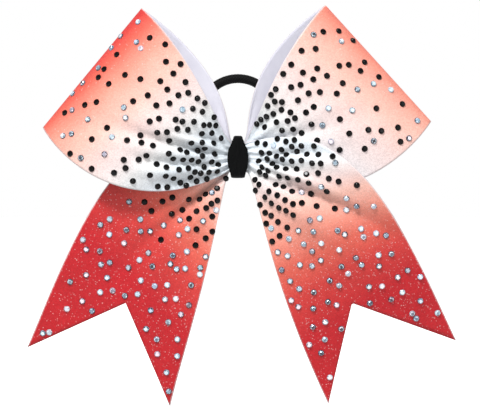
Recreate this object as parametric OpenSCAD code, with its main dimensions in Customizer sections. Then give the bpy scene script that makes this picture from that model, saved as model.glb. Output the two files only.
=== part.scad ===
// Cheerleading hair bow: one wide printed ribbon folded into two loops and two
// swallow tails, gathered in the middle, bound with thread, covered by a black
// wrap that also traps a hair elastic.
//
// Millimetres. X points to the bow's right-hand loop as it is seen from the
// front, +Z is up and the decorated front faces -Y. The origin is the centre of
// the flat back of the wrap, which rests against the hair.

/* [Ribbon] */
// Width of the ribbon, which sets the size of the loops and tails
ribbon_w = 76.2; // [70:0.1:80]
// Thickness of the printed glitter fabric
face_t = 0.5; // [0.4:0.05:0.6]
// Thickness of the white lining
lining_t = 0.5; // [0.4:0.05:0.6]
// How deep the swallow tails are cut, as a share of the tail's length
notch = 0.2; // [0.1:0.01:0.3]

/* [Knot] */
// Widest part of the wrap, side to side
wrap_w = 10.1; // [9:0.1:12]
// Height of the wrap
wrap_h = 20.7; // [20:0.1:24]
// Thickness of the wrap's band
wrap_t = 1.1; // [0.8:0.1:1.3]
// Height of the ribbon where it is gathered
gather_h = 12.6; // [12:0.1:13.4]
// Distance from one gathered layer of ribbon to the next
layer_pitch = 2.7; // [2.6:0.1:3]
// Number of accordion pleats across the gathered ribbon
pleats = 5; // [4:1:6]
// Depth of the accordion pleats, each way
pleat_amp = 0.7; // [0.4:0.1:0.8]

/* [Elastic] */
// Thickness of the braided hair elastic
elastic_d = 4.6; // [3:0.1:4.6]
// Radius of the elastic's ring, to the middle of the braid
ring_r = 18; // [14:0.1:20]
// How far the ring leans back from upright
ring_tilt = 15; // [5:1:30]

/* [Rhinestones] */
// Diameter of one rhinestone
stone_d = 3.1; // [2:0.1:4]
// Height of one rhinestone
stone_h = 1.2; // [0.8:0.1:1.6]
// Distance between rhinestones beside the knot
near_gap = 4.1; // [4:0.1:6]
// Distance between rhinestones at the loops' folds
loop_gap = 9.8; // [8:0.1:14]
// Distance between rhinestones at the tails' ends
tail_gap = 9.2; // [7:0.1:12]

/* [Hidden] */

// The wings' outlines below are for a ribbon this wide
drawn_w = 76.2;
size = ribbon_w / drawn_w;

// Depths of the gathered layers inside the wrap, front to back
play = 0.2;
elastic_y = -wrap_t - play - elastic_d / 2;
thread_t = 0.7;
thread_back = elastic_y - elastic_d / 2 - play;
// Half the depth of a gathered layer, pleats included
half_layer = pleat_amp + (face_t + lining_t) / 2;
back_layer = thread_back - thread_t - play - half_layer;
middle_layer = back_layer - layer_pitch;
front_layer = middle_layer - layer_pitch;
thread_front = front_layer - half_layer - play - thread_t;
// Room for the ribbon to flex inside the front of the wrap
front_room = 1.6;
wrap_front = thread_front - front_room - wrap_t;

// Height of the elastic's trapped run
elastic_z = 5.8;
// Half length of the gathered middle, and where the wings start
middle_half = 1.4;
wing_start = 3.2;
// Half height of the gathered ribbon
gh = gather_h / 2;

// Grid of one panel: steps from the knot outwards, steps across the ribbon
loop_steps = 14;
tail_steps = 14;
across = 20;

// ---------------------------------------------------------------- curves

// Point at share t along a Bezier curve with any number of control points
function bezier(c, t) =
    len(c) == 1 ? c[0] : bezier([for (i = [0:len(c) - 2]) (1 - t) * c[i] + t * c[i + 1]], t);

// n + 1 points round an arc in the plane
function arc(centre, r, from, to, n) =
    [for (i = [0:n]) let (a = from + (to - from) * i / n) centre + r * [cos(a), sin(a)]];

function clamp(x, low, high) = max(low, min(high, x));
function bell(x) = exp(-x * x);

// Control point of an outline: size-scaled in the front view, with its depth
function pt(x, y, z) = [size * x, y, size * z];

// ---------------------------------------------------------------- wings
//
// A panel is one pass of the ribbon from the knot outwards. It is
//   [upper edge, lower edge, puff, creases]
// where the edges are Bezier control points from the knot to the far end, puff
// is how far the middle of the panel swells forwards, and each crease is
//   [angle, width, depth, length]
// for a groove that runs straight out from the knot at that angle above the
// horizontal. A negative depth is a ridge. A tail's last entry is the place of
// its notch across the ribbon.

UPPER = 0;
LOWER = 1;
PUFF = 2;
CREASES = 3;
NOTCH = 4;

// Start of an edge, inside the wrap. side is -1 on the left, facing is -1 where
// the print faces forwards.
half_t = (face_t + lining_t) / 2;
function start(side, layer, facing, z) = [side * wing_start, layer + facing * half_t, z];

// The folds at the loops' outer ends: upper tip and lower corner of each
fold_y = -12;
left_tip = [-47.4, 73.2];
left_corner = [-96, 14.5];
right_tip = [43, 74.8];
right_corner = [95, 17.5];

// Last two control points of a loop's edge, so that the ribbon turns round
// softly at the fold. reach is how far forwards (+) or backwards (-) it swells.
function turn(p, reach) = [pt(p[0], fold_y - reach, p[1]), pt(p[0], fold_y, p[1])];

left_loop_front = [
    concat([start(-1, front_layer, -1, gh), pt(-11, -17, 14), pt(-17, -48, 46)], turn(left_tip, 10)),
    concat([start(-1, front_layer, -1, -gh), pt(-26, -19, -20), pt(-70, -44, -32)], turn(left_corner, 10)),
    3,
    [[12, 4, 2.4, 50], [-4, 4, 1.3, 42], [-21, 5, 1.6, 45], [30, 5, 1.3, 38], [52, 8, 1, 40]]
];
left_loop_back = [
    concat([start(-1, back_layer, 1, gh), pt(-6, -12, 20), pt(-3, 2, 46)], turn(left_tip, -10)),
    concat([start(-1, back_layer, 1, -gh), pt(-26, -9.5, -14), pt(-60, 4, -22)], turn(left_corner, -10)),
    -2,
    [[-10, 7, -1, 40], [15, 7, -0.9, 40], [40, 9, -0.9, 40], [65, 9, -0.7, 35]]
];
right_loop_front = [
    concat([start(1, middle_layer, -1, gh), pt(12, -13.5, 20), pt(15, -42, 46)], turn(right_tip, 10)),
    concat([start(1, middle_layer, -1, -gh), pt(24, -13, -17), pt(64, -26, -32)], turn(right_corner, 10)),
    2,
    [[21, 5, 1.3, 40], [35, 6, 1.2, 42], [49, 6, 1.1, 40], [60, 5, 0.8, 40]]
];
right_loop_back = [
    concat([start(1, back_layer, 1, gh), pt(7, -12, 20), pt(-1, 2, 50)], turn(right_tip, -10)),
    concat([start(1, back_layer, 1, -gh), pt(24, -12, -14), pt(60, 6, -22)], turn(right_corner, -10)),
    -2,
    [[-10, 7, -1, 40], [15, 7, -0.9, 40], [40, 9, -0.9, 40], [65, 9, -0.7, 35]]
];
left_tail_panel = [
    [
        start(-1, middle_layer, -1, gh), pt(-22, -13, 13),
        pt(-58, -22, 24), pt(-80, -15, -38), pt(-104.2, -6, -94.1)
    ],
    [
        start(-1, middle_layer, -1, -gh), pt(-8, -12, -8),
        pt(-9, -24, -45), pt(-25, -13, -88), pt(-33.6, -6, -123.2)
    ],
    0,
    [[-46, 6, 2.2, 65], [-66, 8, 0.8, 60], [-28, 7, 0.8, 50]],
    0.5
];
right_tail_panel = [
    [
        start(1, front_layer, -1, gh), pt(23, -20, 13),
        pt(57, -62, 16), pt(78, -24, -29), pt(107.7, -8, -90.6)
    ],
    [
        start(1, front_layer, -1, -gh), pt(9, -15.4, -8),
        pt(11, -30, -44), pt(28, -13, -87), pt(44.6, -8, -121.8)
    ],
    0,
    [[-26, 4.5, 3.2, 70], [5, 4, 1.6, 38], [-11, 3.5, 1.2, 34], [-40, 8, -1.2, 70], [-60, 8, 1, 60]],
    0.55
];

// Depth of all the grooves of a panel at a point of the front view
function grooves(creases, x, z) =
    let (
        r = norm([x, z]),
        angle = atan2(z, abs(x)),
        grow = 1 - bell(r / 13)
    )
    grow * sum([for (c = creases) c[2] * bell((angle - c[0]) / c[1]) * bell(r / (1.3 * c[3]))]);

function sum(v) = v * [for (i = v) 1];

// Accordion pleats, which fade away once the ribbon leaves the wrap
function accordion(w, x) = pleat_amp * sin(360 * pleats * w) * bell(max(0, abs(x) - wing_start) / 5);

// Point of a panel's outer surface. u runs from the knot to the far end and w
// from the upper edge to the lower one.
function panel_point(p, u, w) =
    let (
        a = bezier(p[UPPER], u),
        b = bezier(p[LOWER], u),
        m = a + w * (b - a),
        swell = p[PUFF] * 16 * u * (1 - u) * w * (1 - w)
    )
    m + [0, grooves(p[CREASES], m[0], m[2]) - swell + accordion(w, m[0]), 0];

// A loop is its front panel, then its back panel from the fold inwards
function loop_point(pair, s, w) = s <= 1 ? panel_point(pair[0], s, w) : panel_point(pair[1], 2 - s, w);

// A tail ends in a V. cut_u is the value of u where the strip at w meets the
// straight cut from a tip to the notch, found by halving.
function notch_point(p) = panel_point(p, 1 - notch, p[NOTCH]);
function tip_point(p, w) = w < p[NOTCH] ? p[UPPER][4] : p[LOWER][4];
function past_cut(p, u, w) =
    let (t = tip_point(p, w), cut = notch_point(p) - t, off = panel_point(p, u, w) - t)
    sign(t[0]) * (w < p[NOTCH] ? 1 : -1) * (cut[0] * off[2] - cut[2] * off[0]);
function cut_u(p, w, low = 0.5, high = 1, n = 14) =
    let (mid = (low + high) / 2)
    n == 0 ? mid : past_cut(p, mid, w) > 0 ? cut_u(p, w, low, mid, n - 1) : cut_u(p, w, mid, high, n - 1);
function tail_point(p, s, w) = panel_point(p, s * cut_u(p, w), w);

// ---------------------------------------------------------------- sheets

// Grid of points of a wing, [row][column], and the same grid moved inwards
function wing_grid(kind, p, rows) =
    [for (i = [0:rows]) [for (j = [0:across]) wing_point(kind, p, i / rows, j / across)]];

function wing_point(kind, p, s, w) = kind == "loop" ? loop_point(p, 2 * s, w) : tail_point(p, s, w);

// Outward normal of a grid at a row and column. side is -1 on the left.
function grid_normal(g, i, j, side) =
    let (
        along = g[min(i + 1, len(g) - 1)][j] - g[max(i - 1, 0)][j],
        sideways = g[i][min(j + 1, across)] - g[i][max(j - 1, 0)],
        n = cross(along, sideways)
    )
    -side * n / norm(n);

function inset(g, depth, side) =
    [for (i = [0:len(g) - 1]) [for (j = [0:across]) g[i][j] - depth * grid_normal(g, i, j, side)]];

function flat(lists) = [for (l = lists) for (x = l) x];

// Closed sheet between an outer grid and an inner one
module sheet(outer, inner, side) {
    rows = len(outer) - 1;
    cols = across + 1;
    n = (rows + 1) * cols;
    // Corner numbers of cell (i, j) on either surface
    function at(i, j, shift) = shift + i * cols + j;
    skin = [for (i = [0:rows - 1]) for (j = [0:across - 1]) each [
        [at(i, j, 0), at(i, j + 1, 0), at(i + 1, j + 1, 0)],
        [at(i, j, 0), at(i + 1, j + 1, 0), at(i + 1, j, 0)]
    ]];
    back = [for (t = skin) [t[2] + n, t[1] + n, t[0] + n]];
    rim = concat(
        [for (j = [0:across]) at(0, j, 0)],
        [for (i = [1:rows]) at(i, across, 0)],
        [for (j = [across - 1:-1:0]) at(rows, j, 0)],
        [for (i = [rows - 1:-1:1]) at(i, 0, 0)]
    );
    m = len(rim);
    walls = [for (k = [0:m - 1]) let (a = rim[k], b = rim[(k + 1) % m])
        each [[b, a, a + n], [b, a + n, b + n]]];
    faces = concat(skin, back, walls);
    polyhedron(
        points = concat(flat(outer), flat(inner)),
        faces = side > 0 ? [for (f = faces) [f[2], f[1], f[0]]] : faces
    );
}

module face_sheet(kind, p, rows, side) {
    g = wing_grid(kind, p, rows);
    sheet(g, inset(g, face_t, side), side);
}

module lining_sheet(kind, p, rows, side) {
    g = wing_grid(kind, p, rows);
    sheet(inset(g, face_t, side), inset(g, face_t + lining_t, side), side);
}

// ---------------------------------------------------------------- rhinestones

// Distance between stones at a distance r from the knot
function stone_gap(r, far) = near_gap + (far - near_gap) * clamp((r / size - 18) / 44, 0, 1);

// Values of u for the rows of stones of a panel, from the knot outwards
function stone_rows(p, far, u, found) =
    let (
        here = panel_point(p, u, 0.5),
        speed = norm(panel_point(p, u + 0.01, 0.5) - here) / 0.01,
        next = u + 0.87 * stone_gap(norm([here[0], here[2]]), far) / speed
    )
    next > 0.985 ? concat(found, [u]) : stone_rows(p, far, next, concat(found, [u]));

// Every stone of a panel as [place, outward normal, chance]
function stones(p, side, far, seed) =
    let (
        rows = stone_rows(p, far, 0.08, []),
        wobble = rands(-1, 1, 1200, seed),
        luck = rands(0, 1, 600, seed + 1)
    )
    [for (k = [0:len(rows) - 1])
        let (
            u = rows[k],
            here = panel_point(p, u, 0.5),
            gap = stone_gap(norm([here[0], here[2]]), far),
            stray = 0.42 * (gap - stone_d),
            width = norm(panel_point(p, u, 0) - panel_point(p, u, 1)),
            length = norm(panel_point(p, 1, 0.5) - panel_point(p, 0, 0.5)),
            count = max(1, round(width / gap))
        )
        for (j = [0:count - 1])
            let (
                index = k * 20 + j,
                w = (j + (k % 2 == 0 ? 0.3 : 0.7)) / count + wobble[index] * stray / width,
                v = clamp(u + wobble[index + 600] * stray / length, 0.05, 0.985),
                at = panel_point(p, v, w),
                along = panel_point(p, v + 0.012, w) - panel_point(p, v - 0.012, w),
                sideways = panel_point(p, v, w + 0.012) - panel_point(p, v, w - 0.012),
                n = -side * cross(along, sideways)
            )
            if (w > 0.03 && w < 0.97) [at, n / norm(n), luck[index], w]
    ];

// Share of black stones at a place. mix is [start, fall sideways, fall downwards,
// least]: the share falls by one over those lengths, and never below least.
loop_mix = [1.5, 75, 75, 0.3];
tail_mix = [2, 38, 26, 0];
function black_share(at, mix) =
    clamp(mix[0] - norm([at[0] / mix[1], at[2] / mix[2]]) / size, mix[3], 0.95);
function is_black(stone, mix) = stone[2] < black_share(stone[0], mix);

// The parts of each panel that stay in sight and carry stones
function clears_left_loop(at) =
    let (x = at[0] / size, z = at[2] / size) z < -20.5 + 0.0088 * pow(x + 40, 2);
function clears_right_tail(at) =
    let (x = at[0] / size, z = at[2] / size) z > 13.5 - x * x / 220;
function clears_wrap(at) = norm([at[0] / (wrap_w / 2 + 5), at[2] / (wrap_h / 2 + 5)]) > 1;

left_loop_stones = apart([for (s = stones(left_loop_front, -1, loop_gap, 11))
    if (clears_wrap(s[0])) s]);
right_loop_stones = apart([for (s = stones(right_loop_front, 1, loop_gap, 23))
    if (clears_wrap(s[0]) && clears_right_tail(s[0])) s]);
left_tail_stones = apart([for (s = stones(left_tail_panel, -1, tail_gap, 35))
    if (clears_left_loop(s[0]) && clears_cut(s, left_tail_panel)) s]);
right_tail_stones = apart([for (s = stones(right_tail_panel, 1, tail_gap, 47))
    if (clears_wrap(s[0]) && clears_cut(s, right_tail_panel)) s]);

// The stones that don't touch one placed before them
function apart(list) = [for (k = [0:len(list) - 1])
    if (len([for (m = [0:1:k - 1]) if (norm(list[k][0] - list[m][0]) < 1.04 * stone_d) m]) == 0) list[k]];

// Whether a stone of a tail lies wholly on the cloth, clear of the swallow cut
function clears_cut(stone, p) =
    let (w = stone[3], end = panel_point(p, cut_u(p, w), w), begin = panel_point(p, 0, w))
    norm(stone[0] - begin) + stone_d < norm(end - begin);

// One stone: a low eight-sided disc, glued a little way into the glitter
module rhinestone(s) {
    n = s[1];
    sunk = 0.05;
    translate(s[0] - sunk * n)
        rotate([0, acos(n[2]), atan2(n[1], n[0])])
            cylinder(d = stone_d, h = stone_h + sunk, $fn = 8);
}

module black_stones(list, mix) {
    color("#141416") for (s = list) if (is_black(s, mix)) rhinestone(s);
}

module crystal_stones(list, mix) {
    color("#c9d3dc") for (s = list) if (!is_black(s, mix)) rhinestone(s);
}

// ---------------------------------------------------------------- knot

// Outline of the wrap's band seen from the side, [y, z], shrunk by d
function band(d) =
    let (
        h = wrap_h / 2 - d,
        back_r = 4 - d,
        front_r = 4.4 - d,
        back = -d,
        front = wrap_front + d
    )
    concat(
        arc([back - back_r, h - back_r], back_r, 0, 90, 6),
        arc([front + front_r, h - front_r], front_r, 90, 180, 10),
        arc([front + front_r, front_r - h], front_r, 180, 270, 10),
        arc([back - back_r, back_r - h], back_r, 270, 360, 6)
    );

// Half of the wrap's outline seen from the front, [x, z] from the top down
wrap_side = [
    [0.21, 0.50], [0.27, 0.39], [0.34, 0.29], [0.46, 0.17], [0.50, 0.02],
    [0.50, -0.14], [0.44, -0.29], [0.38, -0.39], [0.34, -0.50]
];

module front_outline() {
    right = [for (p = wrap_side) [p[0] * wrap_w, p[1] * wrap_h]];
    left = [for (i = [len(right) - 1:-1:0]) [-right[i][0], right[i][1]]];
    polygon(concat(right, left));
}

module center_wrap() {
    color("#16161a") intersection() {
        rotate([90, 0, 90]) linear_extrude(wrap_w + 2, center = true) difference() {
            polygon(band(0));
            polygon(band(wrap_t));
        }
        translate([0, 1, 0]) rotate([90, 0, 0]) linear_extrude(2 - wrap_front) front_outline();
    }
}

// The start of the wrap's band, glued flat inside its back below the elastic
glue_t = 0.4;
tab_t = 0.8;
tab_w = 6.5;
tab_top = 1.6;
tab_bottom = -5.6;

module back_plate(depth, t) {
    translate([-tab_w / 2, depth - t, tab_bottom]) cube([tab_w, t, tab_top - tab_bottom]);
}

module wrap_glue_pad() {
    color("#d8cfae") back_plate(-wrap_t, glue_t);
}

module wrap_inner_end() {
    color("#1c1c20") back_plate(-wrap_t - glue_t, tab_t);
}

// Outline of one turn of thread round the gathered layers, [y, z]
function thread_turn(d) =
    let (h = gh + play + thread_t - d, r = 2.4 - d, back = thread_back - d, front = thread_front + d)
    concat(
        arc([back - r, h - r], r, 0, 90, 5),
        arc([front + r, h - r], r, 90, 180, 5),
        arc([front + r, r - h], r, 180, 270, 5),
        arc([back - r, r - h], r, 270, 360, 5)
    );

module gather_thread() {
    color("#e8e6e0") for (x = [-0.9, 0, 0.9]) translate([x, 0, 0])
        rotate([90, 0, 90]) linear_extrude(0.7, center = true) difference() {
            polygon(thread_turn(0));
            polygon(thread_turn(thread_t));
        }
}

module thread_knot() {
    color("#e8e6e0") translate([0, thread_back, -3]) rotate([-90, 0, 0]) {
        cylinder(d = 2.2, h = 0.7, $fn = 24);
        translate([0, 0, 0.7]) cylinder(d = 1.5, h = 0.5, $fn = 24);
    }
}

// One layer of the ribbon where it passes through the knot. The edges are drawn
// in by a corner so that they clear the thread's rounded bends.
module middle_pleats(layer, tone) {
    top = gh - 0.3;
    function row(x, shift) =
        [for (j = [0:across]) let (w = j / across)
            [x, layer + shift + pleat_amp * sin(360 * pleats * w), top - 2 * top * w]];
    color(tone) sheet(
        [row(-middle_half, -half_t), row(middle_half, -half_t)],
        [row(-middle_half, half_t), row(middle_half, half_t)],
        1
    );
}

module center_front_pleats() { middle_pleats(front_layer, "#e9eef2"); }
module center_middle_pleats() { middle_pleats(middle_layer, "#dfe5ea"); }
module center_back_pleats() { middle_pleats(back_layer, "#d5dce2"); }

// ---------------------------------------------------------------- elastic

// The ring stands on a short straight run that the wrap traps. Both are drawn
// upright with the run along X through the origin, then leaned back.
run_half = wrap_w / 2 + 0.6;

module leaned() {
    translate([0, elastic_y, elastic_z]) rotate([-ring_tilt, 0, 0]) children();
}

// A bend at each end of the run leads into the ring. lead is the angle that it
// turns through, where the bend's circle touches the ring's from inside.
bend_r = 4;
ring_z = bend_r + sqrt(pow(ring_r - bend_r, 2) - pow(run_half, 2));
lead = atan2(run_half, ring_z - bend_r);

// The braid's whole way round, as [x, z, heading] in the ring's own plane
ring_steps = 34;
function on_arc(x, z, r, from, sweep, n) =
    [for (i = [1:n]) let (a = from + sweep * i / n) [x + r * cos(a), z + r * sin(a), a + 90]];
braid_path = concat(
    [[-run_half, 0, 0], [0, 0, 0], [run_half, 0, 0]],
    on_arc(run_half, bend_r, bend_r, -90, lead, 3),
    on_arc(0, ring_z, ring_r, lead - 90, 360 - 2 * lead, ring_steps),
    [for (i = [1:2]) let (a = -90 - lead + lead * i / 3)
        [bend_r * cos(a) - run_half, bend_r + bend_r * sin(a), a + 90]]
);

// A closed tube of the braid's thickness along a flat path
module tube(path, sides) {
    n = len(path);
    points = [for (p = path) for (k = [0:sides - 1])
        let (a = 360 * k / sides, out = elastic_d / 2 * cos(a))
            [p[0] - out * sin(p[2]), elastic_d / 2 * sin(a), p[1] + out * cos(p[2])]];
    function at(i, k) = (i % n) * sides + k % sides;
    polyhedron(points = points, faces = [for (i = [0:n - 1]) for (k = [0:sides - 1]) each [
        [at(i, k), at(i, k + 1), at(i + 1, k + 1)],
        [at(i, k), at(i + 1, k + 1), at(i + 1, k)]
    ]]);
}

module hair_elastic() {
    color("#17171a") leaned() tube(braid_path, 10);
}

module elastic_joint() {
    color("#2a2a2e") leaned() rotate([0, 90, 0]) difference() {
        cylinder(d = elastic_d + 0.3, h = 6, center = true, $fn = 24);
        cylinder(d = elastic_d, h = 7, center = true, $fn = 24);
    }
}

// ---------------------------------------------------------------- nodes

left_loop = [left_loop_front, left_loop_back];
right_loop = [right_loop_front, right_loop_back];

module left_loop_face() { color("#f2a58c") face_sheet("loop", left_loop, 2 * loop_steps, -1); }
module left_loop_lining() { color("#f4f5fb") lining_sheet("loop", left_loop, 2 * loop_steps, -1); }
module right_loop_face() { color("#f5aa92") face_sheet("loop", right_loop, 2 * loop_steps, 1); }
module right_loop_lining() { color("#f4f5fb") lining_sheet("loop", right_loop, 2 * loop_steps, 1); }
module left_tail_face() { color("#cc3b41") face_sheet("tail", left_tail_panel, tail_steps, -1); }
module left_tail_lining() { color("#f4f5fb") lining_sheet("tail", left_tail_panel, tail_steps, -1); }
module right_tail_face() { color("#d64850") face_sheet("tail", right_tail_panel, tail_steps, 1); }
module right_tail_lining() { color("#f4f5fb") lining_sheet("tail", right_tail_panel, tail_steps, 1); }

module left_loop_black_stones() { black_stones(left_loop_stones, loop_mix); }
module left_loop_crystal_stones() { crystal_stones(left_loop_stones, loop_mix); }
module right_loop_black_stones() { black_stones(right_loop_stones, loop_mix); }
module right_loop_crystal_stones() { crystal_stones(right_loop_stones, loop_mix); }
module left_tail_black_stones() { black_stones(left_tail_stones, tail_mix); }
module left_tail_crystal_stones() { crystal_stones(left_tail_stones, tail_mix); }
module right_tail_black_stones() { black_stones(right_tail_stones, tail_mix); }
module right_tail_crystal_stones() { crystal_stones(right_tail_stones, tail_mix); }

center_wrap();
wrap_inner_end();
wrap_glue_pad();
gather_thread();
thread_knot();
center_front_pleats();
center_middle_pleats();
center_back_pleats();
hair_elastic();
elastic_joint();
left_loop_face();
left_loop_lining();
left_loop_black_stones();
left_loop_crystal_stones();
right_loop_face();
right_loop_lining();
right_loop_black_stones();
right_loop_crystal_stones();
left_tail_face();
left_tail_lining();
left_tail_black_stones();
left_tail_crystal_stones();
right_tail_face();
right_tail_lining();
right_tail_black_stones();
right_tail_crystal_stones();
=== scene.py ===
import math
import random

import bpy
import numpy as np
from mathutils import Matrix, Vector, noise
from mathutils.kdtree import KDTree


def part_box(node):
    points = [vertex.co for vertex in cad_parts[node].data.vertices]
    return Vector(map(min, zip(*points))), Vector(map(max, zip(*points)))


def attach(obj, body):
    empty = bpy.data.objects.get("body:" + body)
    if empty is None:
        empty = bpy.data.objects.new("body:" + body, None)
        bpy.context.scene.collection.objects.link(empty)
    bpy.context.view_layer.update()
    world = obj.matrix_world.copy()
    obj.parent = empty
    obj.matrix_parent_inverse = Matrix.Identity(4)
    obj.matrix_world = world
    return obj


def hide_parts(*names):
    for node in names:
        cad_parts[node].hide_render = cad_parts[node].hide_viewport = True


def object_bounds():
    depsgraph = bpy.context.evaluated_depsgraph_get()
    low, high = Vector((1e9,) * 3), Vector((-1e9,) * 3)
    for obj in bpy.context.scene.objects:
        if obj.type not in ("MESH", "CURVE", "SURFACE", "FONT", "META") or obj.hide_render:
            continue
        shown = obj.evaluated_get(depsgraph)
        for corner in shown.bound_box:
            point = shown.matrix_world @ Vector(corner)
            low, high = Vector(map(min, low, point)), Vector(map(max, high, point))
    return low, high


# Looks of a cheer hair bow. The wings are finer versions of the surfaces that
# part.scad defines, so lengths here are in millimetres as they are there, and
# MM turns them into metres when a mesh is made.
MM = 0.001

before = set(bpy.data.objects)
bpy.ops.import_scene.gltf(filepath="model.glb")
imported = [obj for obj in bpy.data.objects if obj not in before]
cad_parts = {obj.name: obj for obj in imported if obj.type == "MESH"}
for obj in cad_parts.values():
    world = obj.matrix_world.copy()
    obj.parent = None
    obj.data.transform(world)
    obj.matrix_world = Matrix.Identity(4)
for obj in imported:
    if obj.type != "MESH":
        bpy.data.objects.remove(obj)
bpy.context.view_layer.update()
rng = random.Random(7)


# ------------------------------------------------------------------ CAD sizes

FACE_T = 0.5
LINING_T = 0.5
HALF_T = (FACE_T + LINING_T) / 2
WRAP_T = 1.1
WRAP_EASE = 0.15         # how much thinner the band is drawn than in the CAD, so cloth can flex inside it
WRAP_W = 10.1
WRAP_H = 20.7
GATHER = 6.3             # half height of the gathered ribbon
PLEATS = 5
PLEAT_AMP = 0.7
WING_START = 3.2
MIDDLE_HALF = 1.7
THREAD_BACK = -6.1
THREAD_FRONT = -15.7
THREAD_T = 0.7
THREAD_PITCH = 0.9
BACK_LAYER = -8.2
MIDDLE_LAYER = -10.9
FRONT_LAYER = -13.6
WRAP_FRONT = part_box("center_wrap")[0].y / MM
ELASTIC_D = 4.6
ELASTIC_Y = -3.6
ELASTIC_Z = 5.8
RING_R = 18
RING_TILT = 15
STONE_D = 3.1
STONE_H = 1.2
NOTCH_DEPTH = 0.2


# ------------------------------------------------------------------ surfaces

def bezier(controls, t):
    """Points at the shares t along a Bezier curve, as an array of t's shape with a last axis of 3."""
    points = [np.array(c, float) * np.ones(t.shape + (1,)) for c in controls]
    share = t[..., None]
    while len(points) > 1:
        points = [(1 - share) * a + share * b for a, b in zip(points, points[1:])]
    return points[0]


def bell(x):
    """1 at 0, falling smoothly to nearly nothing at 2 either way."""
    return np.exp(-x * x)


def start(side, layer, facing, z):
    """Start of an edge inside the wrap. facing is -1 where the print faces forwards."""
    return (side * WING_START, layer + facing * HALF_T, z)


FOLD_Y = -12


def turn(point, reach):
    """Last two control points of a loop's edge, where the ribbon turns round at the fold."""
    return [(point[0], FOLD_Y - reach, point[1]), (point[0], FOLD_Y, point[1])]


LEFT_TIP, LEFT_CORNER = (-47.4, 73.2), (-96, 14.5)
RIGHT_TIP, RIGHT_CORNER = (43, 74.8), (95, 17.5)

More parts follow.
